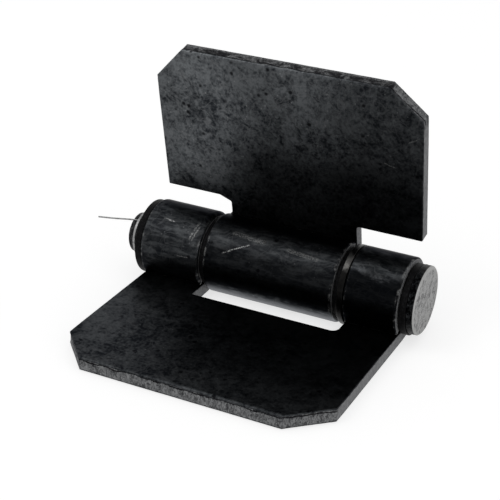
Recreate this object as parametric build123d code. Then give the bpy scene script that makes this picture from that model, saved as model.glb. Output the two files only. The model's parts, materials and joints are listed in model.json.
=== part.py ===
from build123d import *
import os
from math import asin, cos, degrees, radians, sin

# Weld on barrel hinge. Each leaf is one plate that lies tangent to the barrel and is curled once
# round the pin. The base leaf has the two outer knuckles and the swing leaf has the middle one.
# X runs along the pin towards its head, Z is up, and the base leaf reaches towards -Y.
# The origin is the middle of the base leaf's weld face. Lengths are in millimetres.

# Plate and barrel
PLATE = 5.0                 # thickness of both leaves
PIN_DIAMETER = 19.0         # body of the pin
KNUCKLE_CLEARANCE = 0.09    # radial running clearance of the pin in the knuckles
SEAM_GAP = 0.3              # the curl's end stays this far above its own leaf
SIDE_PLAY = 0.1             # end clearance at each flat joint along the pin

# Base leaf
BASE_WIDTH = 100.0          # along the pin
BASE_REACH = 75.0           # from the pin's axis to the far edge
TAIL_KNUCKLE = 23.6         # length of the knuckle at the pin's tail
NOTCH_GAP = 3.5             # from the barrel to the notch's front edge
NOTCH_TAIL_RADIUS = 0.7     # corner of the notch at the tail side
NOTCH_HEAD_RADIUS = 2.4     # corner of the notch at the head side
BASE_TAIL_CLIP = (12.1, 13.0)   # clipped corner, along the pin and across it
BASE_HEAD_CLIP = (13.6, 12.2)

# Swing leaf
MIDDLE_KNUCKLE = 50.4       # length of the knuckle between the joints
SWING_REACH = 76.0
TAIL_WING = 24.7            # how far the leaf runs past the middle knuckle at each side
HEAD_WING = 24.6
TAIL_WING_GAP = 3.7         # from the barrel to the wings' near edges
HEAD_WING_GAP = 3.1
TONGUE_INSET = 1.0          # the flame cut tongue is narrower than the knuckle at its tail side
TONGUE_SLANT = (4.6, 1.9)   # slanted corner left by the torch there
WING_CORNER_RADIUS = 1.2    # inner corner at the head side
SWING_TAIL_CLIP = (10.9, 11.8)
SWING_HEAD_CLIP = (11.9, 10.6)
OPEN_ANGLE = 78.9           # between the leaves as stored

# Edges
SOFT_END = 1.8              # rounding at the inner end of the tail knuckle
CRISP_END = 0.8             # rounding at the other ends of the knuckles
SHEARED_EDGE = 0.4          # rounding along the far edges and clipped corners

# Washers and ring between and beyond the knuckles
JOINT_WASHER = 1.8          # thickness
JOINT_WASHER_DIAMETER = 26.2
END_WASHER = 2.6
TAIL_END_WASHER_DIAMETER = 27.8
HEAD_END_WASHER_DIAMETER = 25.4
THRUST_RING = 2.2
THRUST_RING_EDGE = 0.3
WASHER_CLEARANCE = 0.15     # radial, on the pin
WASHER_EDGE = 0.25

# Pin
HEAD_DIAMETER = 25.4
HEAD_THICKNESS = 3.2
HEAD_BEVEL = 0.4
HEAD_BACK_EDGE = 0.2
TAIL_DIAMETER = 14.8
TAIL_LENGTH = 9.5           # from the base leaf's side to the pin's end
TAIL_BEVEL = 0.6
SHOULDER_DEPTH = 3.0        # the shoulder stays this far inside the tail knuckle
GROOVE_DEPTH = 0.7
GROOVE = 1.1                # width of the ring groove
GROOVE_FROM_END = 2.8
SLOT_WIDTH = 1.2
SLOT_DEPTH = 2.5
SLOT_ANGLE = 65.0           # turn of the slot about the pin, up from the front

# Retaining ring and wire
RING_THICKNESS = 1.0
RING_HEIGHT = 2.0           # radial width of the ring
RING_SLACK = 0.05
RING_OPENING = 70.0         # degrees of the ring that are missing
WIRE_DIAMETER = 0.6
WIRE_LENGTH = 18.0
WIRE_INSET = 0.5            # from the tail's surface down to the wire's middle, inside the slot
WIRE_DIP = 8.0              # degrees that the wire falls below the pin's line

PIN_RADIUS = PIN_DIAMETER / 2
BORE = PIN_RADIUS + KNUCKLE_CLEARANCE
BARREL = BORE + PLATE
AXIS_Y = BASE_REACH / 2
AXIS_Z = BARREL
PAST = 5.0                  # how far cutting solids run past what they cut

# Places along the pin, from its tail to its head
BASE_TAIL = -BASE_WIDTH / 2
BASE_HEAD = BASE_WIDTH / 2
TAIL_KNUCKLE_END = BASE_TAIL + TAIL_KNUCKLE
TAIL_WASHER_START = TAIL_KNUCKLE_END + SIDE_PLAY
MIDDLE_START = TAIL_WASHER_START + JOINT_WASHER + SIDE_PLAY
MIDDLE_END = MIDDLE_START + MIDDLE_KNUCKLE
HEAD_WASHER_START = MIDDLE_END + SIDE_PLAY
THRUST_RING_START = HEAD_WASHER_START + JOINT_WASHER + SIDE_PLAY
HEAD_KNUCKLE_START = THRUST_RING_START + THRUST_RING + SIDE_PLAY
HEAD_BACK = BASE_HEAD + END_WASHER + 2 * SIDE_PLAY
PIN_END = BASE_TAIL - TAIL_LENGTH


def rolled_section(reach):
    """Section across the pin: flat plate, then one curl round the bore as far as its seam."""
    seam = 180 + degrees(asin((BORE - SEAM_GAP) / BARREL))
    towards_seam = (cos(radians(seam)), sin(radians(seam)))
    outer_seam = (BARREL * towards_seam[0], BARREL * towards_seam[1])
    bore_seam = (BORE * towards_seam[0], BORE * towards_seam[1])
    outline = [
        Line((-reach, -BARREL), (0, -BARREL)),
        CenterArc((0, 0), BARREL, -90, seam + 90),
        Line(outer_seam, bore_seam),
        CenterArc((0, 0), BORE, seam, -(seam + 90)),
        Line((0, -BORE), (-reach, -BORE)),
        Line((-reach, -BORE), (-reach, -BARREL)),
    ]
    return Plane.YZ * make_face(outline)


def blank(reach, tail, head):
    """A leaf before its cuts, lying as the base leaf lies, with the pin's axis on X."""
    return Pos(tail, 0, 0) * extrude(rolled_section(reach), head - tail)


def plan_cut(points):
    """Upright solid over a plan outline, tall enough to cut the whole leaf."""
    face = make_face(Polyline(*points, close=True))
    return Pos(0, 0, -BARREL - PAST) * extrude(face, 2 * (BARREL + PAST))


def clip(x, reach, size, towards):
    """Triangle off a far corner at x. towards is 1 where the leaf lies on the +X side."""
    along, across = size
    return plan_cut([
        (x - towards * PAST, -reach - PAST),
        (x + towards * (along + PAST * along / across), -reach - PAST),
        (x - towards * PAST, -reach + across + PAST * across / along),
    ])


def end_rounding(x, outward, radius):
    """Ring that rounds the outer edge of a knuckle's end face at x."""
    inner = BARREL - radius
    outer = BARREL + 1
    beyond = x + outward
    start = x - outward * radius
    middle = radius * (1 - cos(radians(45)))
    outline = [
        ThreePointArc((x, inner), (x - outward * middle, BARREL - middle), (start, BARREL)),
        Line((start, BARREL), (start, outer)),
        Line((start, outer), (beyond, outer)),
        Line((beyond, outer), (beyond, inner)),
        Line((beyond, inner), (x, inner)),
    ]
    return revolve(make_face(outline), Axis.X, 360)


def soften(leaf, reach, clips):
    """Rounds the far edge and the clipped corners on both faces of the plate."""
    limit = -reach + max(across for _, across in clips) + 0.1
    edges = [
        e for e in leaf.edges()
        if abs(e.tangent_at(0.5).Z) < 0.5 and all(v.Y < limit for v in e.vertices())
    ]
    return fillet(edges, SHEARED_EDGE)


def nearest_upright(solid, x, y):
    """The vertical edge of a plan cut that is nearest to a corner."""
    return solid.edges().filter_by(Axis.Z).sort_by_distance((x, y, 0))[0]


def base_leaf():
    """Plate on the ground with a knuckle at each end of its near edge and a notch between."""
    leaf = blank(BASE_REACH, BASE_TAIL, BASE_HEAD)
    front = -BARREL - NOTCH_GAP
    back = BARREL + PAST
    notch = plan_cut([
        (TAIL_KNUCKLE_END, front), (HEAD_KNUCKLE_START, front),
        (HEAD_KNUCKLE_START, back), (TAIL_KNUCKLE_END, back),
    ])
    notch = fillet(nearest_upright(notch, TAIL_KNUCKLE_END, front), NOTCH_TAIL_RADIUS)
    notch = fillet(nearest_upright(notch, HEAD_KNUCKLE_START, front), NOTCH_HEAD_RADIUS)
    leaf -= notch
    leaf -= clip(BASE_TAIL, BASE_REACH, BASE_TAIL_CLIP, 1)
    leaf -= clip(BASE_HEAD, BASE_REACH, BASE_HEAD_CLIP, -1)
    leaf = soften(leaf, BASE_REACH, (BASE_TAIL_CLIP, BASE_HEAD_CLIP))
    leaf -= end_rounding(BASE_TAIL, -1, CRISP_END)
    leaf -= end_rounding(TAIL_KNUCKLE_END, 1, SOFT_END)
    leaf -= end_rounding(HEAD_KNUCKLE_START, -1, CRISP_END)
    leaf -= end_rounding(BASE_HEAD, 1, CRISP_END)
    return leaf


def swing_leaf():
    """Plate with the middle knuckle on a tongue and a wing past each side of it."""
    tail = MIDDLE_START - TAIL_WING
    head = MIDDLE_END + HEAD_WING
    back = BARREL + PAST
    leaf = blank(SWING_REACH, tail, head)

    tongue = MIDDLE_START + TONGUE_INSET
    wing = -BARREL - TAIL_WING_GAP
    along, across = TONGUE_SLANT
    root = -(BARREL**2 - BORE**2) ** 0.5
    leaf -= plan_cut([
        (tail - PAST, wing), (tongue - along, wing), (tongue, wing + across), (tongue, root),
        (MIDDLE_START, root), (MIDDLE_START, back), (tail - PAST, back),
    ])
    wing = -BARREL - HEAD_WING_GAP
    step = plan_cut([
        (MIDDLE_END, wing), (head + PAST, wing), (head + PAST, back), (MIDDLE_END, back),
    ])
    leaf -= fillet(nearest_upright(step, MIDDLE_END, wing), WING_CORNER_RADIUS)
    leaf -= clip(tail, SWING_REACH, SWING_TAIL_CLIP, 1)
    leaf -= clip(head, SWING_REACH, SWING_HEAD_CLIP, -1)
    leaf = soften(leaf, SWING_REACH, (SWING_TAIL_CLIP, SWING_HEAD_CLIP))
    leaf -= end_rounding(MIDDLE_START, -1, CRISP_END)
    leaf -= end_rounding(MIDDLE_END, 1, CRISP_END)
    return Rot(-OPEN_ANGLE, 0, 0) * mirror(leaf, Plane.XY)


def turned(points):
    """Solid of revolution about the pin's axis from (place along the pin, radius) points."""
    return revolve(make_face(Polyline(*points, close=True)), Axis.X, 360)


def hinge_pin():
    """Headed pin with a shoulder, a thinner tail, a ring groove and a sawn slot in its end."""
    head = HEAD_DIAMETER / 2
    front = HEAD_BACK + HEAD_THICKNESS
    shoulder = BASE_TAIL + SHOULDER_DEPTH
    tail = TAIL_DIAMETER / 2
    ring = PIN_END + GROOVE_FROM_END
    floor = tail - GROOVE_DEPTH
    pin = turned([
        (front, 0), (front, head - HEAD_BEVEL), (front - HEAD_BEVEL, head),
        (HEAD_BACK + HEAD_BACK_EDGE, head), (HEAD_BACK, head - HEAD_BACK_EDGE),
        (HEAD_BACK, PIN_RADIUS), (shoulder, PIN_RADIUS), (shoulder, tail),
        (ring + GROOVE, tail), (ring + GROOVE, floor), (ring, floor), (ring, tail),
        (PIN_END + TAIL_BEVEL, tail), (PIN_END, tail - TAIL_BEVEL), (PIN_END, 0),
    ])
    slot = Box(2 * SLOT_DEPTH, 2 * TAIL_DIAMETER, SLOT_WIDTH)
    return pin - Pos(PIN_END, 0, 0) * Rot(-SLOT_ANGLE, 0, 0) * slot


def washer(start, thickness, outer, bore, edge):
    """Flat ring on the pin with both outer edges broken."""
    end = start + thickness
    return turned([
        (start, bore), (start, outer - edge), (start + edge, outer), (end - edge, outer),
        (end, outer - edge), (end, bore),
    ])


def retaining_ring():
    """Flat snap ring in the groove of the tail, open at the bottom."""
    start = PIN_END + GROOVE_FROM_END + RING_SLACK
    bore = TAIL_DIAMETER / 2 - GROOVE_DEPTH + RING_SLACK
    ring = washer(start, RING_THICKNESS, bore + RING_HEIGHT, bore, WASHER_EDGE)
    half = radians(RING_OPENING / 2)
    reach = 2 * (bore + RING_HEIGHT)
    wedge = make_face(Polyline(
        (0, 0), (-reach * sin(half), -reach * cos(half)), (reach * sin(half), -reach * cos(half)),
        close=True,
    ))
    opening = Pos(start - PAST, 0, 0) * extrude(Plane.YZ * wedge, RING_THICKNESS + 2 * PAST)
    return ring - opening


def lock_wire():
    """Straight wire whose inner end stands in the slot and whose free end runs past the pin."""
    along = radians(SLOT_ANGLE)
    middle = TAIL_DIAMETER / 2 - WIRE_INSET
    start = (PIN_END + SLOT_DEPTH - SIDE_PLAY, -middle * cos(along), middle * sin(along))
    dip = radians(WIRE_DIP)
    return Plane(start, z_dir=(-cos(dip), 0, -sin(dip))) * extrude(
        Circle(WIRE_DIAMETER / 2), WIRE_LENGTH
    )


def pieces():
    """Every piece by its node name, with the pin's axis on X."""
    joint_washer = JOINT_WASHER_DIAMETER / 2
    tail_washer = TAIL_END_WASHER_DIAMETER / 2
    head_washer = HEAD_END_WASHER_DIAMETER / 2
    on_body = PIN_RADIUS + WASHER_CLEARANCE
    on_tail = TAIL_DIAMETER / 2 + WASHER_CLEARANCE
    tail_end = BASE_TAIL - SIDE_PLAY - END_WASHER
    head_end = BASE_HEAD + SIDE_PLAY
    return {
        "base_leaf": base_leaf(),
        "swing_leaf": swing_leaf(),
        "hinge_pin": hinge_pin(),
        "tail_end_washer": washer(tail_end, END_WASHER, tail_washer, on_tail, WASHER_EDGE),
        "tail_joint_washer": washer(
            TAIL_WASHER_START, JOINT_WASHER, joint_washer, on_body, WASHER_EDGE
        ),
        "head_joint_washer": washer(
            HEAD_WASHER_START, JOINT_WASHER, joint_washer, on_body, WASHER_EDGE
        ),
        "thrust_ring": washer(THRUST_RING_START, THRUST_RING, BARREL, on_body, THRUST_RING_EDGE),
        "head_end_washer": washer(head_end, END_WASHER, head_washer, on_body, WASHER_EDGE),
        "retaining_ring": retaining_ring(),
        "lock_wire": lock_wire(),
    }


os.makedirs("parts", exist_ok=True)
for name, piece in pieces().items():
    placed = Pos(0, AXIS_Y, AXIS_Z) * piece
    placed.label = name
    export_step(placed, f"parts/{name}.step")
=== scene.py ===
import json
import math

import bmesh
import bpy
import numpy as np
from mathutils import Matrix, Vector
from mathutils.geometry import delaunay_2d_cdt
from mathutils.kdtree import KDTree


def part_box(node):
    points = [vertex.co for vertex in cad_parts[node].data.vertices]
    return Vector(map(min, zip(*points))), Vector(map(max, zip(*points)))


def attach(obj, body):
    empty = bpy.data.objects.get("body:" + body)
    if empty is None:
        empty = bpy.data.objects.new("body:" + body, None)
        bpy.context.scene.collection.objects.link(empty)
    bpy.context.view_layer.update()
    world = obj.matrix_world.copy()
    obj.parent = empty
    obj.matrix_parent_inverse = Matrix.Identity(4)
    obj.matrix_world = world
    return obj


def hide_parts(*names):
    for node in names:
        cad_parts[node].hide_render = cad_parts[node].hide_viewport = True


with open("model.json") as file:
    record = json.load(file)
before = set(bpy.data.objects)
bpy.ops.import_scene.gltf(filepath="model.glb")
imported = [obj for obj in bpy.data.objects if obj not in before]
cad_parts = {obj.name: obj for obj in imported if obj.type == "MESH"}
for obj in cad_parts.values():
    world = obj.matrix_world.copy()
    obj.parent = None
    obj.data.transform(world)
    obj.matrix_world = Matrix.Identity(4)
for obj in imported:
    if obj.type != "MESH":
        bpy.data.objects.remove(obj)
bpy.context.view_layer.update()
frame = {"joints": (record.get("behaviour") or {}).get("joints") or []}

# Weld on barrel hinge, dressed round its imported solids. Lengths are in millimetres until a mesh
# is written, and places along the pin come from the solids' boxes. A leaf is modelled as the flat
# blank it was rolled from: x along the pin, v across it (below 0 flat, above 0 in the curl), and
# w through the plate from its outer face. Its wear only ever goes into the solid.

MM = 0.001

PLATE = 5.0
OPEN_ANGLE = math.radians(78.9)
SIDE_PLAY = 0.1
SEAM_GAP = 0.3
BASE_REACH = 75.0
SWING_REACH = 76.0
FAR_ROLL = 1.0             # rounding where the shears rolled a far edge over

JOINT = next(j for j in frame["joints"] if j["name"] == "leaf_swing")
AXIS = np.array(JOINT["pos_m"]) / MM


def span(node):
    """Lowest and highest x of a solid, in millimetres."""
    low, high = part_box(node)
    return low.x / MM, high.x / MM


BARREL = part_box("base_leaf")[1].z / MM / 2
BORE = BARREL - PLATE
BASE_TAIL, BASE_HEAD = span("base_leaf")
SWING_TAIL, SWING_HEAD = span("swing_leaf")
TAIL_KNUCKLE_END = span("tail_joint_washer")[0] - SIDE_PLAY
MIDDLE_START = span("tail_joint_washer")[1] + SIDE_PLAY
MIDDLE_END = span("head_joint_washer")[0] - SIDE_PLAY
HEAD_KNUCKLE_START = span("thrust_ring")[1] + SIDE_PLAY
CURL = math.pi + math.asin((BORE - SEAM_GAP) / BARREL) + math.pi / 2
SEAM = BARREL * CURL            # v of the curl's end, along the outer face

# Spacing of the leaves' points
EDGE_STEP = 0.5
FINE = 0.62
EDGE_ROWS = 12
RINGS = (0.07, 0.17, 0.3, 0.5, 0.8, 1.25, 1.8)


# ---- noise -------------------------------------------------------------------------------------

def lattice(points, seed):
    """Smooth noise from 0 to 1 at each row of points, with one feature a unit."""
    cell = np.floor(points).astype(np.int64)
    part = points - cell
    part = part * part * part * (part * (part * 6 - 15) + 10)
    total = np.zeros(len(points))
    for corner in range(8):
        bits = np.array([(corner >> k) & 1 for k in range(3)])
        c = cell + bits
        h = (c[:, 0] * 374761393 + c[:, 1] * 668265263 + c[:, 2] * 1442695041 + seed * 974634777)
        h = (h ^ (h >> 13)) & 0xFFFFFFFF
        h = (h * 1274126177) & 0xFFFFFFFF
        h = h ^ (h >> 16)
        weight = np.prod(np.where(bits, part, 1 - part), axis=1)
        total += weight * (h / 0xFFFFFFFF)
    return total


def rough(points, size, seed, octaves=3):
    """Layered noise from 0 to 1 whose largest features are about size across."""
    points = np.asarray(points, float) / size
    total, scale, weight = 0.0, 0.0, 1.0
    for k in range(octaves):
        total = total + weight * lattice(points * 2**k + 17.3 * k, seed + k)
        scale += weight
        weight *= 0.5
    return total / scale


def ease(low, high, value):
    t = np.clip((value - low) / (high - low), 0, 1)
    return t * t * (3 - 2 * t)


# ---- meshes ------------------------------------------------------------------------------------

def new_piece(name, points, faces, material, body, node, attributes=None):
    """A closed mesh from points in millimetres, that rides on body and stands for node."""
    mesh = bpy.data.meshes.new(name)
    mesh.from_pydata((np.asarray(points) * MM).tolist(), [], faces)
    mesh.validate()
    bm = bmesh.new()
    bm.from_mesh(mesh)
    if bm.calc_volume(signed=True) < 0:
        bmesh.ops.reverse_faces(bm, faces=bm.faces)
    bm.to_mesh(mesh)
    bm.free()
    mesh.polygons.foreach_set("use_smooth", [True] * len(mesh.polygons))
    for key, values in (attributes or {}).items():
        values = np.asarray(values, np.float32)
        kind = "FLOAT_VECTOR" if values.ndim == 2 else "FLOAT"
        layer = mesh.attributes.new(key, kind, "POINT")
        layer.data.foreach_set("vector" if values.ndim == 2 else "value", values.ravel())
    mesh.materials.append(material)
    piece = bpy.data.objects.new(name, mesh)
    bpy.context.scene.collection.objects.link(piece)
    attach(piece, body)
    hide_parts(node)
    return piece


def round_corners(corners):
    """Plan outline with its corners rounded. Each corner is (x, v, radius)."""
    made = []
    count = len(corners)
    for i, (x, v, radius) in enumerate(corners):
        here = np.array([x, v])
        if not radius:
            made.append(here)
            continue
        before = np.array(corners[i - 1][:2]) - here
        after = np.array(corners[(i + 1) % count][:2]) - here
        before, after = before / np.linalg.norm(before), after / np.linalg.norm(after)
        half = math.acos(float(before @ after)) / 2
        centre = here + (before + after) / np.linalg.norm(before + after) * radius / math.sin(half)
        start = here + before * radius / math.tan(half) - centre
        end = here + after * radius / math.tan(half) - centre
        steps = max(3, round(radius * 1.6 / EDGE_STEP) + 2)
        for k in range(steps + 1):
            t = k / steps
            mixed = (1 - t) * start + t * end
            made.append(centre + mixed / np.linalg.norm(mixed) * radius)
    return np.array(made)


def walk(outline):
    """Points along a closed outline at EDGE_STEP, with each one's inward direction."""
    points, inward = [], []
    count = len(outline)
    for i in range(count):
        a, b = outline[i], outline[(i + 1) % count]
        length = np.linalg.norm(b - a)
        if length < 1e-6:
            continue
        steps = max(1, math.ceil(length / EDGE_STEP))
        for k in range(steps):
            points.append(a + (b - a) * k / steps)
    points = np.array(points)
    ahead = np.roll(points, -1, 0) - points
    behind = points - np.roll(points, 1, 0)
    ahead /= np.linalg.norm(ahead, axis=1)[:, None]
    behind /= np.linalg.norm(behind, axis=1)[:, None]
    inward = np.stack([-(ahead + behind)[:, 1], (ahead + behind)[:, 0]], 1) / 2
    inward /= (inward * inward).sum(1)[:, None]
    return points, inward


def inside(points, outline):
    """Which points lie inside a closed outline."""
    found = np.zeros(len(points), bool)
    x, v = points[:, 0], points[:, 1]
    for a, b in zip(outline, np.roll(outline, -1, 0)):
        crosses = (a[1] > v) != (b[1] > v)
        where = a[0] + (v - a[1]) / (b[1] - a[1] + 1e-12) * (b[0] - a[0])
        found ^= crosses & (x < where)
    return found


def nearest(points, border, tree):
    """Index of the nearest border point to each point, and the distance to the border line."""
    index = np.array([tree.find((x, v, 0.0))[1] for x, v in points])
    best = np.full(len(points), 1e9)
    for step in (-1, 0):
        a = border[(index + step) % len(border)]
        b = border[(index + step + 1) % len(border)]
        line = b - a
        t = np.clip(((points - a) * line).sum(1) / (line * line).sum(1), 0, 1)
        best = np.minimum(best, np.linalg.norm(points - a - line * t[:, None], axis=1))
    return index, best


def fill(outline, spacing):
    """Triangles over an outline. Its border points come first, then rings, then a grid."""
    border, inward = walk(outline)
    tree = KDTree(len(border))
    for i, (x, v) in enumerate(border):
        tree.insert((x, v, 0.0), i)
    tree.balance()
    rings = np.concatenate([border + inward * d for d in RINGS])
    depth = np.repeat(RINGS, len(border))
    low, high = outline.min(0), outline.max(0)
    rows = np.arange(low[1] + spacing, high[1], spacing * math.sqrt(3) / 2)
    columns = np.arange(low[0] + spacing / 2, high[0], spacing)
    grid = np.array([(x + (k % 2) * spacing / 2, v) for k, v in enumerate(rows) for x in columns])
    within = inside(rings, outline)
    rings, depth = rings[within], depth[within]
    _, away = nearest(rings, border, tree)
    rings = rings[away > depth * 0.97]
    grid = grid[inside(grid, outline)]
    _, away = nearest(grid, border, tree)
    grid = grid[away > RINGS[-1] + spacing * 0.45]
    points = np.concatenate([border, rings, grid])
    made = delaunay_2d_cdt([Vector(p) for p in points], [], [list(range(len(border)))], 1, 1e-6)
    verts = np.array([tuple(p) for p in made[0]])
    index, away = nearest(verts, border, tree)
    away[:len(border)] = 0
    return border, inward, verts, [tuple(f) for f in made[2]], index, away


def round_over(away, radius):
    """How far a face has dropped at a distance from an edge of this radius."""
    inner = np.clip(radius - away, 0, None)
    return radius - np.sqrt(np.clip(radius * radius - inner * inner, 0, None))


def rolled(x, v, w):
    """Points of the blank, rolled round the pin, as the base leaf lies, with the pin at 0."""
    turn = np.clip(v, 0, None) / BARREL
    radius = BARREL - w
    y = np.where(v <= 0, v, radius * np.sin(turn))
    z = np.where(v <= 0, -radius, -radius * np.cos(turn))
    return np.stack([x, y, z], 1)


def stand_base(points):
    return points + AXIS


def stand_swing(points):
    """The swing leaf is rolled the other way up and turned open about the pin."""
    y, z = points[:, 1], -points[:, 2]
    c, s = math.cos(-OPEN_ANGLE), math.sin(-OPEN_ANGLE)
    return np.stack([points[:, 0], y * c - z * s, y * s + z * c], 1) + AXIS


def leaf(name, corners, outer_radius, inner_radius, edge_wear, face_wear, stand, seed, body, node,
         material, spacing):
    """One leaf. The radius and wear functions say how each place of the blank is finished."""
    outline = round_corners(corners)
    sides = []
    for side, step in zip(("outer", "inner"), spacing):
        border, inward, verts, faces, index, away = fill(outline, step)
        sides.append((side, verts, faces, index, away))
    count = len(border)
    run = np.concatenate([[0], np.cumsum(np.linalg.norm(np.diff(border, axis=0), axis=1))])
    radii = {
        "outer": outer_radius(border[:, 0], border[:, 1]),
        "inner": inner_radius(border[:, 0], border[:, 1]),
    }

    def worn(index, w, away):
        """Places on the blank after the edge's wear, which fades away from the edge."""
        depth = edge_wear(border[index, 0], border[index, 1], run[index], w, seed)
        return inward[index] * (depth * np.exp(-away / 0.35))[:, None]

    sheet, depth_in, faces_all, starts = [], [], [], []
    offset = 0
    for side, verts, faces, index, away in sides:
        drop = round_over(away, radii[side][index])
        wear = face_wear(verts[:, 0], verts[:, 1], side, seed)
        w = drop + wear if side == "outer" else PLATE - drop - wear
        moved = verts + worn(index, w, away)
        sheet.append(np.column_stack([moved, w]))
        depth_in.append(away)
        faces_all += [tuple(offset + k for k in f) for f in faces] if side == "outer" else [
            tuple(offset + k for k in reversed(f)) for f in faces]
        starts.append(offset)
        offset += len(verts)
    rows = []
    low_w = sheet[0][:count, 2]
    high_w = sheet[1][:count, 2]
    everyone = np.arange(count)
    for k in range(1, EDGE_ROWS):
        w = low_w + (high_w - low_w) * k / EDGE_ROWS
        moved = border + worn(everyone, w, np.zeros(count))
        sheet.append(np.column_stack([moved, w]))
        depth_in.append(np.zeros(count))
        rows.append(offset)
        offset += count
    ladder = [starts[0], *rows, starts[1]]
    for low, high in zip(ladder, ladder[1:]):
        for i in range(count):
            j = (i + 1) % count
            faces_all.append((low + i, high + i, high + j, low + j))
    sheet = np.concatenate(sheet)
    points = stand(rolled(sheet[:, 0], sheet[:, 1], sheet[:, 2]))
    return new_piece(name, points, faces_all, material, body, node,
                     {"sheet": sheet, "rim": np.concatenate(depth_in)})


def lathe(name, loop, segments, wear, material, body, node, step=0.5, sector=None):
    """Turned piece. loop lists (x, radius, rounding) round its section; two points on the pin's
    line make it solid. sector gives a start and end angle where it isn't a whole turn."""
    loop = [tuple(p) for p in loop]
    solid = loop[0][1] == 0 and loop[-1][1] == 0
    corners = np.array([p[:2] for p in loop])
    smooth = []
    count = len(loop)
    for i, (x, r, rounding) in enumerate(loop):
        here = corners[i]
        if not rounding or (solid and i in (0, count - 1)):
            smooth.append(here)
            continue
        before, after = corners[i - 1] - here, corners[(i + 1) % count] - here
        before, after = before / np.linalg.norm(before), after / np.linalg.norm(after)
        half = math.acos(float(np.clip(before @ after, -1, 1))) / 2
        centre = here + (before + after) / np.linalg.norm(before + after) * rounding / math.sin(half)
        start = here + before * rounding / math.tan(half) - centre
        end = here + after * rounding / math.tan(half) - centre
        for k in range(4):
            mixed = start + (end - start) * k / 3
            smooth.append(centre + mixed / np.linalg.norm(mixed) * rounding)
    line = []
    total = len(smooth)
    for i in range(total - 1 if solid else total):
        a, b = smooth[i], smooth[(i + 1) % total]
        length = float(np.linalg.norm(b - a))
        steps = max(1, math.ceil(length / step))
        line += [a + (b - a) * k / steps for k in range(steps)]
    if solid:
        line.append(smooth[-1])
    line = np.array(line)
    whole = sector is None
    first, last = sector or (0.0, 2 * math.pi)
    turns = np.linspace(first, last, segments + (0 if whole else 1), endpoint=not whole)
    points, turned, ids = [], [], []
    for x, r in line:
        if solid and r < 1e-9:
            ids.append([len(points)])
            points.append((x, 0.0, 0.0))
            turned.append((x, 0.0, 0.0))
            continue
        ids.append(list(range(len(points), len(points) + len(turns))))
        for a in turns:
            points.append((x, r * math.cos(a), r * math.sin(a)))
            turned.append((x, r, r * a))
    faces = []
    pairs = list(zip(ids, ids[1:])) + ([] if solid else [(ids[-1], ids[0])])
    for low, high in pairs:
        around = range(len(turns) if whole else len(turns) - 1)
        for i in around:
            j = (i + 1) % len(turns)
            if len(low) == 1:
                faces.append((low[0], high[j], high[i]))
            elif len(high) == 1:
                faces.append((low[i], low[j], high[0]))
            else:
                faces.append((low[i], low[j], high[j], high[i]))
    if not whole:
        faces.append(tuple(ring[0] for ring in ids))
        faces.append(tuple(ring[-1] for ring in reversed(ids)))
    points, turned = np.array(points), np.array(turned)
    points = wear(points, turned) + AXIS
    return new_piece(name, points, faces, material, body, node, {"turned": turned})


# ---- node materials ----------------------------------------------------------------------------

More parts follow.
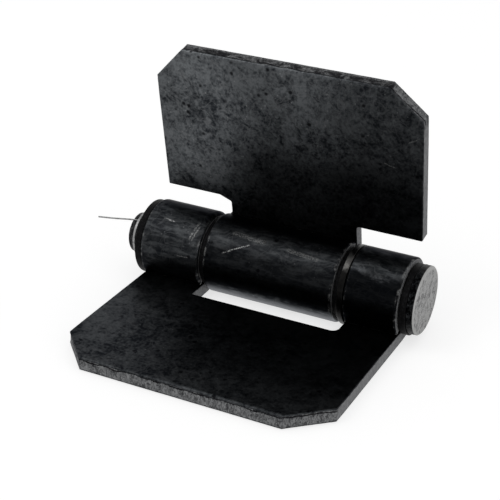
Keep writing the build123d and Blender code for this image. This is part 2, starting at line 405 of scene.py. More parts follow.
class Paint:
    """A material's node tree, built by short calls that return sockets."""

    def __init__(self, name):
        self.material = bpy.data.materials.new(name)
        self.material.use_nodes = True
        self.tree = self.material.node_tree
        self.tree.nodes.clear()
        place = self.node("ShaderNodeTexCoord").outputs["Object"]
        self.place = self.vector("SCALE", place, scale=1 / MM)

    def node(self, kind, inputs=None, **settings):
        made = self.tree.nodes.new(kind)
        for key, value in settings.items():
            setattr(made, key, value)
        for key, value in (inputs or {}).items():
            self.put(made.inputs[key], value)
        return made

    def put(self, socket, value):
        if isinstance(value, bpy.types.NodeSocket):
            self.tree.links.new(value, socket)
        else:
            socket.default_value = value

    def math(self, operation, *values, clamp=False):
        made = self.node("ShaderNodeMath", operation=operation, use_clamp=clamp)
        for socket, value in zip(made.inputs, values):
            self.put(socket, value)
        return made.outputs[0]

    def vector(self, operation, *values, scale=None):
        made = self.node("ShaderNodeVectorMath", operation=operation)
        for socket, value in zip(made.inputs, values):
            self.put(socket, value)
        if scale is not None:
            made.inputs["Scale"].default_value = scale
        return made.outputs["Value" if operation in ("LENGTH", "DOT_PRODUCT") else "Vector"]

    def attribute(self, name, output="Vector"):
        return self.node("ShaderNodeAttribute", attribute_name=name).outputs[output]

    def parts(self, vector):
        made = self.node("ShaderNodeSeparateXYZ", {"Vector": vector})
        return made.outputs["X"], made.outputs["Y"], made.outputs["Z"]

    def join(self, x, y, z):
        return self.node("ShaderNodeCombineXYZ", {"X": x, "Y": y, "Z": z}).outputs[0]

    def noise(self, size, vector=None, detail=4.0, roughness=0.55, distortion=0.0, stretch=None):
        """Noise from 0 to 1 with features about size millimetres across."""
        vector = vector or self.place
        if stretch:
            vector = self.vector("MULTIPLY", vector, stretch)
        made = self.node("ShaderNodeTexNoise", {
            "Vector": vector, "Scale": 1 / size, "Detail": detail, "Roughness": roughness,
            "Distortion": distortion,
        })
        return made.outputs["Fac"]

    def cells(self, size, vector=None, feature="F1", jitter=1.0):
        made = self.node("ShaderNodeTexVoronoi", {
            "Vector": vector or self.place, "Scale": 1 / size, "Randomness": jitter,
        }, feature=feature)
        return made.outputs["Distance"]

    def ramp(self, low, high, value, smooth=True):
        """0 below low, 1 above high."""
        made = self.node("ShaderNodeMapRange", {
            "Value": value, "From Min": low, "From Max": high, "To Min": 0.0, "To Max": 1.0,
        }, interpolation_type="SMOOTHSTEP" if smooth else "LINEAR")
        return made.outputs["Result"]

    def steps(self, value, levels):
        """Smooth rise and fall through (place, level) pairs along value."""
        made = levels[0][1]
        for (low, _), (high, level) in zip(levels, levels[1:]):
            made = self.lerp(self.ramp(low, high, value), made, level)
        return made

    def mix(self, share, a, b):
        """Colours a and b, mixed by share."""
        made = self.node("ShaderNodeMix", data_type="RGBA")
        self.put(made.inputs["Factor"], share)
        for socket in made.inputs:
            if socket.type == "RGBA" and socket.name in ("A", "B"):
                value = a if socket.name == "A" else b
                if isinstance(value, tuple) and len(value) == 3:
                    value = (*value, 1.0)
                self.put(socket, value)
        return next(o for o in made.outputs if o.type == "RGBA")

    def lerp(self, share, a, b):
        """Numbers a and b, mixed by share."""
        made = self.node("ShaderNodeMix", data_type="FLOAT")
        self.put(made.inputs["Factor"], share)
        for socket in made.inputs:
            if socket.type == "VALUE" and socket.name in ("A", "B"):
                self.put(socket, a if socket.name == "A" else b)
        return next(o for o in made.outputs if o.type == "VALUE")

    def bump(self, height, distance, below=None, strength=1.0):
        """Relief from a height of 0 to 1 that stands distance millimetres high."""
        made = self.node("ShaderNodeBump", {
            "Height": height, "Distance": distance * MM, "Strength": strength,
        })
        if below is not None:
            self.put(made.inputs["Normal"], below)
        return made.outputs["Normal"]

    def scratch(self, vector, a, b, width):
        """1 on a line from a to b in the blank's x and v, 0 away from it."""
        ab = (b[0] - a[0], b[1] - a[1])
        length = math.hypot(*ab)
        along = (ab[0] / length, ab[1] / length, 0.0)
        across = (-ab[1] / length, ab[0] / length, 0.0)
        rel = self.vector("SUBTRACT", vector, (a[0], a[1], 0.0))
        side = self.math("ABSOLUTE", self.vector("DOT_PRODUCT", rel, across))
        run = self.vector("DOT_PRODUCT", rel, along)
        over = self.math("SUBTRACT", self.math("ABSOLUTE", self.math(
            "SUBTRACT", run, length / 2)), length / 2)
        body = self.math("SUBTRACT", 1.0, self.ramp(width * 0.3, width, side))
        ends = self.math("SUBTRACT", 1.0, self.ramp(-0.8, 0.2, over))
        return self.math("MULTIPLY", body, ends)

    def steel(self, colour, roughness, normal, metallic=1.0, **plain):
        shader = self.node("ShaderNodeBsdfPrincipled", {
            "Base Color": colour if isinstance(colour, bpy.types.NodeSocket) else (*colour, 1.0),
            "Roughness": roughness, "Metallic": metallic, "Normal": normal, **plain,
        })
        out = self.node("ShaderNodeOutputMaterial")
        self.tree.links.new(shader.outputs[0], out.inputs["Surface"])
        return self.material


def scale_steel(name, marks, painted_shade, sooty_top, painted_floor_reflection):
    """Hot rolled plate: dark mill scale on its faces and torn grey steel on its cut edges.
    The shade function gives painted reflection and shade: how bright each place of the blank is painted.
    The last argument sets a pale painted reflection of the floor under the curl."""
    p = Paint(name)
    sheet = p.attribute("sheet")
    x, v, w = p.parts(sheet)
    rim = p.attribute("rim", "Fac")

    large = p.noise(20, detail=3, roughness=0.5)
    middle = p.noise(4.2, detail=6, roughness=0.66, distortion=0.6)
    small = p.noise(1.2, detail=4, roughness=0.65)
    grain = p.noise(0.42, detail=3, roughness=0.6)
    pits = p.math("SUBTRACT", 1.0, p.ramp(0.12, 0.3, p.cells(3.4)))
    pits = p.math("MULTIPLY", pits, p.ramp(0.5, 0.6, p.noise(7, detail=3)))
    specks = p.math("SUBTRACT", 1.0, p.ramp(0.08, 0.22, p.cells(1.7, p.vector(
        "ADD", p.place, (31.0, 12.0, 7.0)))))
    specks = p.math("MULTIPLY", specks, p.ramp(0.52, 0.62, p.noise(5, detail=3)))
    rings = p.math("ABSOLUTE", p.math("SUBTRACT", p.noise(6.5, detail=2, distortion=0.8), 0.5))
    rings = p.math("SUBTRACT", 1.0, p.ramp(0.0, 0.028, rings))

    tone = p.math("ADD", p.math("MULTIPLY", p.math("SUBTRACT", middle, 0.5), 2.6),
                  p.math("MULTIPLY", p.math("SUBTRACT", small, 0.5), 2.2))
    tone = p.math("ADD", tone, p.math("MULTIPLY", p.math("SUBTRACT", large, 0.5), 1.6))
    tone = p.math("ADD", tone, 0.5, clamp=True)

    # the barrel has streaks where it rubbed in the rollers
    in_curl = p.ramp(-2.0, 3.0, v)
    streak = p.noise(2.0, p.join(p.math("MULTIPLY", x, 0.25), v, w), detail=5, roughness=0.7,
                     distortion=0.5)
    tone = p.lerp(in_curl, tone, p.math("ADD", p.math("MULTIPLY", tone, 0.35),
                                        p.math("MULTIPLY", p.ramp(0.42, 0.66, streak), 0.75)))

    # painted reflection and shade: each place of the blank is dimmed towards black by the shade level
    level = painted_shade(p, x, v, large, middle)
    scale = p.mix(tone, (0.016, 0.018, 0.021), (0.115, 0.122, 0.128))
    scale = p.mix(p.math("MULTIPLY", rings, 0.35), scale, (0.15, 0.155, 0.16))
    scale = p.mix(p.math("MULTIPLY", specks, 0.55), scale, (0.26, 0.265, 0.27))
    scale = p.mix(p.math("MULTIPLY", pits, 0.9), scale, (0.006, 0.006, 0.007))
    scale = p.mix(level, (0.0012, 0.0014, 0.0018), scale)
    # painted reflection: a pale band on the curl's underside stands in for the floor's reflection, as strong
    # as the last argument says (none on the base leaf)
    under = p.math("MULTIPLY", p.ramp(42.0, 36.0, v), p.ramp(27.0, 34.0, p.math(
        "ADD", v, p.math("MULTIPLY", p.math("SUBTRACT", middle, 0.5), 12.0))))
    scale = p.mix(p.math("MULTIPLY", under, painted_floor_reflection), scale, (0.4, 0.41, 0.43))

    # light along the knuckles' worn ends and along the curl's end
    rubbed = p.ramp(0.5, 0.62, p.noise(2.6, detail=5, roughness=0.75))
    worn = p.math("MULTIPLY", p.math("MULTIPLY", p.ramp(1.2, 0.55, rim), p.ramp(40.0, 46.0, v)),
                  rubbed)
    lips = p.math("MULTIPLY", p.ramp(SEAM - 1.1, SEAM - 0.5, v), p.ramp(0.5, 0.56, small))
    worn = p.math("MAXIMUM", p.math("MULTIPLY", worn, 0.3), p.math("MULTIPLY", lips, 0.7))
    scale = p.mix(worn, scale, (0.3, 0.3, 0.295))
    scratched = None
    for a, b, width, share in marks:
        wobble = p.vector("ADD", sheet, p.join(0.0, p.math("MULTIPLY", p.math(
            "SUBTRACT", small, 0.5), 0.9), 0.0))
        line = p.math("MULTIPLY", p.scratch(wobble, a, b, width), share)
        line = p.math("MULTIPLY", line, p.ramp(0.4, 0.62, grain))
        scratched = line if scratched is None else p.math("MAXIMUM", scratched, line)
    scale = p.mix(scratched, scale, (0.38, 0.38, 0.37))

    # cut edges: grey steel under a dark rolled-over lip at each face, torn along one side
    across = p.math("SUBTRACT", p.math("ABSOLUTE", p.math("SUBTRACT", w, PLATE / 2)), PLATE / 2)
    lip = p.math("ADD", across, p.math("MULTIPLY", p.math("SUBTRACT", p.noise(
        1.6, detail=4, roughness=0.7), 0.5), 1.1))
    inner_cut = p.ramp(-0.34, -0.6, lip)
    at_edge = p.ramp(0.09, 0.02, rim)
    cut = p.math("MULTIPLY", inner_cut, at_edge)
    tear = p.noise(0.9, p.vector("MULTIPLY", p.place, (1.0, 1.0, 0.55)), detail=5, roughness=0.7,
                   distortion=1.2)
    torn = p.mix(p.ramp(0.36, 0.64, tear), (0.045, 0.046, 0.048), (0.215, 0.218, 0.222))
    torn = p.mix(p.ramp(0.6, 0.74, p.noise(2.4, detail=4, roughness=0.7)), torn,
                 (0.012, 0.013, 0.015))
    crack = p.math("ABSOLUTE", p.math("SUBTRACT", w, p.math("ADD", PLATE - 2.6, p.math(
        "MULTIPLY", p.noise(6.0, detail=5, roughness=0.65), 3.2))))
    crack = p.math("MULTIPLY", p.math("SUBTRACT", 1.0, p.ramp(0.16, 0.42, crack)),
                   p.ramp(-58.0, -62.0, v))
    torn = p.mix(p.math("MULTIPLY", crack, 0.95), torn, (0.004, 0.004, 0.005))
    torn = p.mix(p.math("MULTIPLY", p.ramp(-64.0, -61.0, v), 0.5), torn, (0.27, 0.272, 0.276))
    soot = p.math("MULTIPLY", p.ramp(-SWING_REACH + 0.9, -SWING_REACH + 0.5, v), p.math(
        "MULTIPLY", p.ramp(0.5, 1.6, w), p.ramp(0.62, 0.44, middle)))
    torn = p.mix(p.math("MULTIPLY", soot, sooty_top), torn, (0.008, 0.008, 0.009))
    colour = p.mix(cut, scale, torn)

    dull = p.math("ADD", 0.24, p.math("MULTIPLY", middle, 0.16))
    dull = p.math("ADD", dull, p.math("MULTIPLY", small, 0.08))
    roughness = p.lerp(cut, dull, 0.6)

    height = p.math("ADD", p.math("MULTIPLY", small, 0.55), p.math("MULTIPLY", grain, 0.45))
    height = p.math("SUBTRACT", height, p.math("MULTIPLY", pits, 0.8))
    normal = p.bump(height, 0.03)
    normal = p.bump(p.math("MULTIPLY", p.math("SUBTRACT", tear, p.math(
        "MULTIPLY", crack, 0.8)), cut), 0.22, normal)
    return p.steel(colour, roughness, normal, **{"Specular Tint": (0.5, 0.5, 0.51, 1.0)})


def base_painted_shade(p, x, v, large, middle):
    """Painted reflection and shade for the base leaf: brighter at its tail side and along the head half of
    its front edge, and on its head knuckle a painted highlight in a band near the top with painted shade to
    either side.
    """
    spread = p.math("MULTIPLY", p.math("SUBTRACT", large, 0.5), 30.0)
    spread = p.math("ADD", spread, p.math("MULTIPLY", p.math("SUBTRACT", middle, 0.5), 16.0))
    place = p.math("ADD", x, spread)
    flat = p.steps(place, ((-46.0, 0.46), (-24.0, 0.4), (-4.0, 0.22), (20.0, 0.18)))
    front = p.math("MULTIPLY", p.ramp(-52.0, -70.0, v), p.ramp(-16.0, 2.0, x))
    flat = p.math("ADD", flat, p.math("MULTIPLY", front, 0.22))
    turn = p.math("ADD", v, p.math("MULTIPLY", p.math("SUBTRACT", middle, 0.5), 9.0))
    tail = p.steps(turn, ((36.0, 0.4), (43.0, 0.1), (50.0, 0.5), (57.0, 0.34), (65.0, 0.36), (72.0, 0.2)))
    head = p.steps(turn, ((36.0, 0.4), (43.0, 0.05), (48.5, 0.62), (54.0, 0.6), (58.0, 0.04)))
    curl = p.lerp(p.ramp(-10.0, 0.0, x), tail, head)
    return p.lerp(p.ramp(-1.0, 6.0, v), flat, curl)


def swing_painted_shade(p, x, v, large, middle):
    """Painted reflection and shade for the swing leaf: brightest at its upper tail corner and darker lower
    down towards the head, with a painted reflection of the floor under its knuckle and painted shade on the
    knuckle's front.
    """
    spread = p.math("ADD", p.math("MULTIPLY", p.math("SUBTRACT", large, 0.5), 34.0),
                    p.math("MULTIPLY", p.math("SUBTRACT", middle, 0.5), 20.0))
    flat = p.steps(p.math("ADD", x, spread), (
        (-44.0, 0.76), (-28.0, 0.98), (-6.0, 0.7), (10.0, 0.84), (30.0, 0.5), (46.0, 0.46)))
    low = p.steps(p.math("ADD", v, p.math("MULTIPLY", spread, 0.4)), ((-52.0, 1.0), (-32.0, 0.4)))
    flat = p.math("MULTIPLY", flat, p.lerp(p.ramp(-32.0, -4.0, x), 1.0, low))
    turn = p.math("ADD", v, p.math("MULTIPLY", p.math("SUBTRACT", middle, 0.5), 7.0))
    curl = p.steps(turn, ((28.0, 0.45), (36.0, 0.9), (40.0, 0.9), (43.5, 0.06), (50.0, 0.06), (55.0, 0.1),
                          (62.0, 0.3), (67.0, 0.36), (70.0, 0.06)))
    return p.lerp(p.ramp(-1.0, 6.0, v), flat, curl)


def pin_steel(name):
    """The pin: a hammered bare face, a sooty band round the head, and a dull, stained tail."""
    p = Paint(name)
    x, y, z = p.parts(p.vector("SUBTRACT", p.place, tuple(AXIS)))
    radius = p.vector("LENGTH", p.join(0.0, y, z))
    blotch = p.noise(1.7, detail=5, roughness=0.7, distortion=0.7)
    fine = p.noise(0.45, detail=4, roughness=0.6)
    both = p.math("ADD", p.math("MULTIPLY", blotch, 0.65), p.math("MULTIPLY", fine, 0.35))
    colour = p.mix(p.ramp(0.4, 0.53, both), (0.06, 0.06, 0.062), (0.3, 0.3, 0.297))
    clean_rim = p.math("MULTIPLY", p.ramp(HEAD_RADIUS - 1.5, HEAD_RADIUS - 0.7, radius), 0.8)
    colour = p.mix(clean_rim, colour, (0.36, 0.36, 0.355))
    side = p.math("MULTIPLY", p.ramp(HEAD_FRONT - 0.42, HEAD_FRONT - 0.6, x),
                  p.ramp(BASE_TAIL + 3.5, BASE_TAIL + 4.5, x))
    soot = p.mix(p.ramp(0.46, 0.64, both), (0.0008, 0.0008, 0.001), (0.03, 0.032, 0.034))
    colour = p.mix(side, colour, soot)
    tail = p.ramp(BASE_TAIL + 0.5, BASE_TAIL - 0.5, x)
    stained = p.mix(p.ramp(0.42, 0.62, both), (0.004, 0.004, 0.005), (0.045, 0.045, 0.046))
    colour = p.mix(tail, colour, stained)
    return p.steel(colour, p.math("ADD", 0.4, p.math("MULTIPLY", fine, 0.2)),
                   p.bump(both, 0.12))


def ring_steel(name):
    """The thrust ring: ground steel, with painted light in a band on its upper front and painted shade all
    round the rest.
    """
    p = Paint(name)
    _, radius, along = p.parts(p.attribute("turned"))
    blotch = p.noise(2.5, detail=5, roughness=0.68, distortion=0.5)
    fine = p.noise(0.7, detail=4, roughness=0.6)
    turn = p.math("DIVIDE", along, p.math("MULTIPLY", radius, math.pi / 180))
    turn = p.math("ADD", turn, p.math("MULTIPLY", p.math("SUBTRACT", blotch, 0.5), 25.0))
    # painted light and shade: the ring is bright only in a band near its top, and near black elsewhere
    level = p.steps(turn, ((100.0, 0.1), (108.0, 1.0), (128.0, 1.0), (138.0, 0.05)))
    colour = p.mix(p.ramp(0.36, 0.62, blotch), (0.07, 0.068, 0.066), (0.13, 0.127, 0.122))
    colour = p.mix(level, (0.0015, 0.0015, 0.0015), colour)
    return p.steel(colour, p.math("ADD", 0.24, p.math("MULTIPLY", fine, 0.2)),
                   p.bump(fine, 0.02))


def spring_wire(name):
    """Drawn spring steel with light oxide."""
    p = Paint(name)
    blotch = p.noise(1.0, detail=5, roughness=0.68, distortion=0.5)
    colour = p.mix(p.ramp(0.36, 0.62, blotch), (0.14, 0.14, 0.14), (0.32, 0.32, 0.32))
    return p.steel(colour, p.math("ADD", 0.3, p.math("MULTIPLY", blotch, 0.2)),
                   p.bump(blotch, 0.02))


def black_washer(name):
    p = Paint(name)
    fine = p.noise(0.8, detail=4, roughness=0.6)
    colour = p.mix(p.ramp(0.45, 0.7, fine), (0.0015, 0.0015, 0.0018), (0.010, 0.010, 0.011))
    return p.steel(colour, p.math("ADD", 0.5, p.math("MULTIPLY", fine, 0.25)),
                   p.bump(fine, 0.03), metallic=0.9)


# ---- the leaves --------------------------------------------------------------------------------

NOTCH_FRONT = -(BARREL + 3.5)
TAIL_WING = -(BARREL + 3.7)
HEAD_WING = -(BARREL + 3.1)
TONGUE = MIDDLE_START + 1.0
ROOT = -math.sqrt(BARREL**2 - BORE**2)

BASE_CORNERS = [
    (BASE_TAIL, -BASE_REACH + 13.0, 0), (BASE_TAIL + 12.1, -BASE_REACH, 0),
    (BASE_HEAD - 13.6, -BASE_REACH, 0), (BASE_HEAD, -BASE_REACH + 12.2, 0),
    (BASE_HEAD, SEAM, 0), (HEAD_KNUCKLE_START, SEAM, 0),
    (HEAD_KNUCKLE_START, NOTCH_FRONT, 2.4), (TAIL_KNUCKLE_END, NOTCH_FRONT, 0.7),
    (TAIL_KNUCKLE_END, SEAM, 0), (BASE_TAIL, SEAM, 0),
]
SWING_CORNERS = [
    (SWING_TAIL, -SWING_REACH + 11.8, 0), (SWING_TAIL + 10.9, -SWING_REACH, 0),
    (SWING_HEAD - 11.9, -SWING_REACH, 0), (SWING_HEAD, -SWING_REACH + 10.6, 0),
    (SWING_HEAD, HEAD_WING, 0.4), (MIDDLE_END, HEAD_WING, 1.2),
    (MIDDLE_END, SEAM, 0), (MIDDLE_START, SEAM, 0), (MIDDLE_START, ROOT + 0.4, 0.3),
    (TONGUE, ROOT - 0.6, 0.3), (TONGUE, TAIL_WING + 1.9, 0.8),
    (TONGUE - 4.6, TAIL_WING, 1.5), (SWING_TAIL, TAIL_WING, 0.4),
]


def end_radius(x, v, soft_end):
    """Rounding of a knuckle's outer edge, which dies out where the plate runs flat."""
    radius = np.where(np.abs(x - soft_end) < 0.3, 1.8, 0.8)
    share = ease(-5.5, 1.0, v) * (v < SEAM - 0.01)
    return 0.28 + (radius - 0.28) * share


def base_outer(x, v):
    return np.where(v < -BASE_REACH + 13.2, 0.4, end_radius(x, v, TAIL_KNUCKLE_END))


def swing_outer(x, v):
    return np.where(v < -SWING_REACH + 12.0, 0.4, end_radius(x, v, 1e9))


def inner_radius(reach):
    """Rounding of a leaf's inner face, rolled over along its far edge."""
    def radius(x, v):
        return np.where(v < -reach + 0.05, FAR_ROLL, np.where(v < -reach + 13.2, 0.4, 0.25))
    return radius


def edge_wear(x, v, run, w, seed):
    """How far a cut edge is torn back, from the place on it and the depth through the plate."""
    spot = np.column_stack([run, w, np.zeros_like(run)])
    tear = rough(spot, 1.7, seed + 3, 3)
    wave = rough(np.column_stack([run, run * 0, run * 0]), 9.0, seed + 5, 2)
    lip = np.minimum(w, PLATE - w)
    broken = ease(0.48, 0.62, rough(spot, 3.2, seed + 9, 2)) * ease(0.3, 1.2, lip)
    flat = ease(1.0, -1.0, v)
    far = 0.2 + 0.8 * ease(-57.0, -61.0, v)
    return (0.1 * tear + 0.08 * wave + 0.2 * broken) * flat * far + 0.03 * tear * (1 - flat)


def face_wear(x, v, side, seed):
    """How far a face has sunk: the rollers' marks and the scale's unevenness."""
    shift = 100.0 if side == "inner" else 0.0
    spot = np.column_stack([x, v + shift, np.zeros_like(x)])
    broad = rough(spot, 16.0, seed + 21, 2)
    scale = rough(spot, 3.0, seed + 23, 3)
    return 0.04 * broad + 0.04 * scale


BASE_MARKS = [
    ((-43.7, 53.7), (-38.8, 54.5), 0.32, 0.8), ((-34.7, 66.5), (-30.1, 66.4), 0.22, 0.35),
    ((-31.0, 59.9), (-29.4, 52.0), 0.5, 0.35), ((-30.0, 60.4), (-28.6, 54.0), 0.4, 0.3),
]
SWING_MARKS = [
    ((-17.1, 55.7), (-7.6, 60.9), 0.35, 0.6), ((-16.0, 64.2), (-2.0, 63.0), 1.3, 0.2), ((6.0, 62.4), (19.0, 61.2), 1.1, 0.14),
    ((36.3, -46.9), (41.0, -45.6), 0.3, 0.35), ((45.1, -56.3), (49.3, -59.1), 0.3, 0.3),
]

base_steel = scale_steel("base_leaf_scale_and_painted_shade", BASE_MARKS, base_painted_shade, 0.0, 0.0)
swing_steel = scale_steel("swing_leaf_scale_and_painted_shade", SWING_MARKS, swing_painted_shade, 0.9, 0.8)

leaf("base_leaf_plate", BASE_CORNERS, base_outer, inner_radius(BASE_REACH), edge_wear, face_wear, stand_base,
     11, "base", "base_leaf", base_steel, (0.78, FINE))
leaf("swing_leaf_plate", SWING_CORNERS, swing_outer, inner_radius(SWING_REACH), edge_wear, face_wear,
     stand_swing, 47, "swing", "swing_leaf", swing_steel, (0.78, FINE))


# ---- the pin and what is on it -----------------------------------------------------------------

def turned_wear(depth, size, seed):
    """Wear for turned pieces: the surface sinks a little towards the section's middle."""
    def wear(points, turned):
        spot = points + 40.0
        sink = depth * rough(spot, size, seed, 3)
        radial = np.hypot(points[:, 1], points[:, 2])
        centre_x = (turned[:, 0].min() + turned[:, 0].max()) / 2
        moved = points.copy()
        shrink = np.where(radial > 1e-9, 1 - sink / np.maximum(radial, 1e-9), 1.0)
        outside = turned[:, 1] > turned[:, 1].max() - 1.0
        moved[:, 1:] *= np.where(outside, shrink, 1.0)[:, None]
        moved[:, 0] += np.where(outside, 0.0, np.sign(centre_x - points[:, 0]) * sink)
        return moved
    return wear


PIN_RADIUS = 9.5
HEAD_BACK = BASE_HEAD + (span("head_end_washer")[1] - span("head_end_washer")[0]) + 2 * SIDE_PLAY
PIN_TAIL, PIN_FRONT = span("hinge_pin")
HEAD_RADIUS = 12.45
HEAD_FRONT = PIN_FRONT - 0.3
HEAD_LIFT = 0.4             # the head was upset a little off the pin's line
HEAD_BEVEL = 0.4
TAIL_RADIUS = 7.4
RING_AT = span("retaining_ring")[0] - 0.05
FLOOR_RADIUS = TAIL_RADIUS - 0.7

bare_pin = pin_steel("pin_bare_steel")
ring_painted_light = ring_steel("thrust_ring_steel")
spring = spring_wire("spring_steel")
washer_black = black_washer("washer_black")


def pin_wear(points, turned):
    """The head's face is sawn and hammered, and the body is smooth."""
    moved = points.copy()
    front = ease(HEAD_FRONT - 0.35, HEAD_FRONT - 0.1, points[:, 0])
    radial = np.hypot(points[:, 1], points[:, 2])
    dish = rough(points + 60, 5.0, 71, 3) * 0.32 + rough(points + 60, 1.4, 73, 2) * 0.14
    moved[:, 0] -= front * dish * ease(0, 0.6, HEAD_RADIUS - 0.4 - radial)
    side = (points[:, 0] > HEAD_BACK + 0.2) * (radial > HEAD_RADIUS - 0.9)
    sink = rough(points + 80, 1.8, 79, 3) * 0.18 * side
    end = ease(PIN_TAIL + 0.5, PIN_TAIL + 0.2, points[:, 0])
    moved[:, 0] += end * rough(points + 60, 2.0, 83, 3) * 0.2
    grow = 1 - sink / np.maximum(radial, 1.0)
    moved[:, 1:] *= grow[:, None]
    moved[:, 2] += HEAD_LIFT * (points[:, 0] > HEAD_BACK - 0.1) * ease(
        PIN_RADIUS - 0.5, PIN_RADIUS + 0.5, radial + 5.0 * (points[:, 0] > HEAD_BACK + 0.1))
    return moved


pin = lathe("pin_turned", [
    (HEAD_FRONT, 0, 0), (HEAD_FRONT, HEAD_RADIUS - HEAD_BEVEL, 0.15),
    (HEAD_FRONT - HEAD_BEVEL, HEAD_RADIUS, 0.15),
    (HEAD_BACK, HEAD_RADIUS, 0.2), (HEAD_BACK, PIN_RADIUS, 0), (BASE_TAIL + 3, PIN_RADIUS, 0.2),
    (BASE_TAIL + 3, TAIL_RADIUS, 0), (RING_AT + 1.1, TAIL_RADIUS, 0.1),
    (RING_AT + 1.1, FLOOR_RADIUS, 0), (RING_AT, FLOOR_RADIUS, 0), (RING_AT, TAIL_RADIUS, 0.1),
    (PIN_TAIL + 0.6, TAIL_RADIUS, 0.15), (PIN_TAIL, TAIL_RADIUS - 0.6, 0.15), (PIN_TAIL, 0, 0),
], 192, pin_wear, bare_pin, "pin", "hinge_pin")


def flat_ring(name, node, outer, bore, material, depth, seed, rounding=0.25):
    start, end = span(node)
    return lathe(name, [
        (start, bore, 0.08), (start, outer, rounding), (end, outer, rounding), (end, bore, 0.08),
    ], 176, turned_wear(depth, 3.0, seed), material, "pin", node)


def outer_radius(node):
    low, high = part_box(node)
    return (high.y - low.y) / MM / 2


for number, node in enumerate(("tail_joint_washer", "head_joint_washer", "head_end_washer")):
    flat_ring(node + "_disc", node, outer_radius(node), PIN_RADIUS + 0.15, washer_black,
              0.06, 101 + number)
flat_ring("tail_end_washer_disc", "tail_end_washer", outer_radius("tail_end_washer"),
          TAIL_RADIUS + 0.15, washer_black, 0.06, 107)
flat_ring("thrust_ring_disc", "thrust_ring", outer_radius("thrust_ring"), PIN_RADIUS + 0.15,
          ring_painted_light, 0.04, 109, 0.3)

half = math.radians(70.0 / 2)
ring_start, ring_end = span("retaining_ring")
ring_bore = FLOOR_RADIUS + 0.05
lathe("retaining_ring_spring", [
    (ring_start, ring_bore, 0.06), (ring_start, ring_bore + 2.0, 0.2),
    (ring_end, ring_bore + 2.0, 0.2), (ring_end, ring_bore, 0.06),
], 120, turned_wear(0.02, 2.0, 113), spring, "pin", "retaining_ring", 0.3,
    (-math.pi / 2 + half, 3 * math.pi / 2 - half))

# the sawn slot across the tail's end, and the wire that lies in it
SLOT_TURN = math.radians(65.0)
cutter_mesh = bpy.data.meshes.new("slot_cutter")
bm = bmesh.new()
bmesh.ops.create_cube(bm, size=1.0, matrix=(
    Matrix.Translation(Vector((PIN_TAIL * MM, AXIS[1] * MM, AXIS[2] * MM)))
    @ Matrix.Rotation(-SLOT_TURN, 4, "X") @ Matrix.Diagonal((5 * MM, 30 * MM, 1.2 * MM, 1))))
bm.to_mesh(cutter_mesh)
bm.free()
cutter = bpy.data.objects.new("slot_cutter", cutter_mesh)
bpy.context.scene.collection.objects.link(cutter)
cut = pin.modifiers.new("slot", "BOOLEAN")
cut.operation, cut.solver, cut.object = "DIFFERENCE", "EXACT", cutter
graph = bpy.context.evaluated_depsgraph_get()
slotted = bpy.data.meshes.new_from_object(pin.evaluated_get(graph))
pin.modifiers.clear()
pin.data = slotted
slotted.set_sharp_from_angle(angle=math.radians(40))
bpy.data.objects.remove(cutter)

WIRE_RADIUS = 0.3
WIRE_DIP = math.radians(8.0)
wire_start = np.array([PIN_TAIL + 2.4, -6.9 * math.cos(SLOT_TURN), 6.9 * math.sin(SLOT_TURN)])
wire_run = np.array([-math.cos(WIRE_DIP), 0.0, -math.sin(WIRE_DIP)])
line = []
for k in range(61):
    t = k / 60
    bow = 0.16 * math.sin(2 * math.pi * t) * (1 - t)
    line.append(wire_start + wire_run * 18.0 * t + np.array([0, 0, bow]))
line = np.array(line)
points, faces = [], []
AROUND = 12
for k, centre in enumerate(line):
    step = line[min(k + 1, 60)] - line[max(k - 1, 0)]
    step /= np.linalg.norm(step)
    side = np.cross(step, (0, 0, 1.0))
    side /= np.linalg.norm(side)
    top = np.cross(side, step)
    thin = 0.75 if k in (0, 60) else 1.0
    for i in range(AROUND):
        a = 2 * math.pi * i / AROUND
        points.append(centre + (side * math.cos(a) + top * math.sin(a)) * WIRE_RADIUS * thin)
    if k:
        for i in range(AROUND):
            j = (i + 1) % AROUND
            b = (k - 1) * AROUND
            faces.append((b + i, b + j, b + AROUND + j, b + AROUND + i))
faces.append(tuple(range(AROUND)))
faces.append(tuple(reversed(range(60 * AROUND, 61 * AROUND))))
wire = new_piece("lock_wire_bent", np.array(points) + AXIS, faces, spring, "pin", "lock_wire")


# ---- floor, light and camera -------------------------------------------------------------------

floor_mesh = bpy.data.meshes.new("floor")
FLOOR_HALF = 6.0
floor_mesh.from_pydata([(x * FLOOR_HALF, y * FLOOR_HALF, -0.0002) for x, y in
                        ((-1, -1), (1, -1), (1, 1), (-1, 1))], [], [(0, 1, 2, 3)])
floor = bpy.data.objects.new("floor", floor_mesh)
bpy.context.scene.collection.objects.link(floor)

floor_material = bpy.data.materials.new("floor_white")
floor_material.use_nodes = True
tree = floor_material.node_tree
tree.nodes.clear()
out = tree.nodes.new("ShaderNodeOutputMaterial")
matte = tree.nodes.new("ShaderNodeBsdfDiffuse")
matte.inputs["Color"].default_value = (0.8, 0.8, 0.8, 1.0)
glow = tree.nodes.new("ShaderNodeEmission")
glow.inputs["Strength"].default_value = 1.0
half_matte = tree.nodes.new("ShaderNodeBsdfDiffuse")
half_matte.inputs["Color"].default_value = (0.45, 0.45, 0.45, 1.0)
soft_glow = tree.nodes.new("ShaderNodeEmission")
soft_glow.inputs["Strength"].default_value = 0.7
lifted = tree.nodes.new("ShaderNodeAddShader")
tree.links.new(half_matte.outputs[0], lifted.inputs[0])
tree.links.new(soft_glow.outputs[0], lifted.inputs[1])
rays = tree.nodes.new("ShaderNodeLightPath")
seen = tree.nodes.new("ShaderNodeMath")
seen.operation = "MAXIMUM"
tree.links.new(rays.outputs["Is Camera Ray"], seen.inputs[0])
tree.links.new(rays.outputs["Is Glossy Ray"], seen.inputs[1])
choose = tree.nodes.new("ShaderNodeMixShader")
tree.links.new(seen.outputs[0], choose.inputs[0])
tree.links.new(matte.outputs[0], choose.inputs[1])
tree.links.new(lifted.outputs[0], choose.inputs[2])
tree.links.new(choose.outputs[0], out.inputs["Surface"])
floor_mesh.materials.append(floor_material)

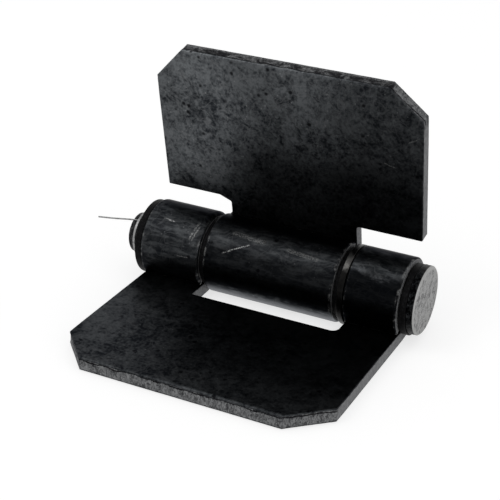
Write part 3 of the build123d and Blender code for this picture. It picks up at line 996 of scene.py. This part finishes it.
world = bpy.data.worlds.new("studio")
bpy.context.scene.world = world
world.use_nodes = True
tree = world.node_tree
tree.nodes.clear()
out = tree.nodes.new("ShaderNodeOutputWorld")
back = tree.nodes.new("ShaderNodeBackground")
rays = tree.nodes.new("ShaderNodeLightPath")
seen = tree.nodes.new("ShaderNodeMath")
seen.operation = "MAXIMUM"
seen_too = tree.nodes.new("ShaderNodeMath")
seen_too.operation = "MAXIMUM"
tree.links.new(rays.outputs["Is Camera Ray"], seen.inputs[0])
tree.links.new(rays.outputs["Is Glossy Ray"], seen.inputs[1])
tree.links.new(seen.outputs[0], seen_too.inputs[0])
tree.links.new(rays.outputs["Is Transmission Ray"], seen_too.inputs[1])
level = tree.nodes.new("ShaderNodeMapRange")
level.inputs["To Min"].default_value = 0.6
level.inputs["To Max"].default_value = 1.0
tree.links.new(seen_too.outputs[0], level.inputs["Value"])
tree.links.new(level.outputs["Result"], back.inputs["Strength"])
back.inputs["Color"].default_value = (1.0, 1.0, 1.0, 1.0)
tree.links.new(back.outputs[0], out.inputs["Surface"])


def softbox(name, place, size, power):
    light = bpy.data.lights.new(name, "AREA")
    light.shape = "RECTANGLE"
    light.size, light.size_y = size
    light.energy = power
    lamp = bpy.data.objects.new(name, light)
    lamp.location = place
    aim = Vector((0, 0.02, 0.03)) - Vector(place)
    lamp.rotation_euler = aim.to_track_quat("-Z", "Y").to_euler()
    bpy.context.scene.collection.objects.link(lamp)
    return lamp


softbox("key", (-0.55, -0.45, 0.9), (0.6, 0.6), 1.6)
softbox("side", (0.9, -0.35, 0.45), (0.5, 0.5), 0.8)

# the camera stands to the right and above, and looks along the pin's slope
camera_data = bpy.data.cameras.new("camera")
camera_data.sensor_width = 36.0
camera_data.lens = 99.0
camera_data.clip_start, camera_data.clip_end = 0.01, 50.0
camera = bpy.data.objects.new("camera", camera_data)
yaw, pitch, roll = math.radians(25.765), math.radians(26.408), math.radians(1.526)
forward = Vector((-math.sin(yaw) * math.cos(pitch), math.cos(yaw) * math.cos(pitch),
                  -math.sin(pitch)))
level_right = Vector((math.cos(yaw), math.sin(yaw), 0.0))
level_up = level_right.cross(forward)
right = math.cos(roll) * level_right + math.sin(roll) * level_up
up = -math.sin(roll) * level_right + math.cos(roll) * level_up
camera.matrix_world = Matrix((
    (right.x, up.x, -forward.x, 0.18217), (right.y, up.y, -forward.y, -0.36527),
    (right.z, up.z, -forward.z, 0.24024), (0, 0, 0, 1),
))
bpy.context.scene.collection.objects.link(camera)
bpy.context.scene.camera = camera
bpy.context.scene.view_settings.view_transform = "Standard"
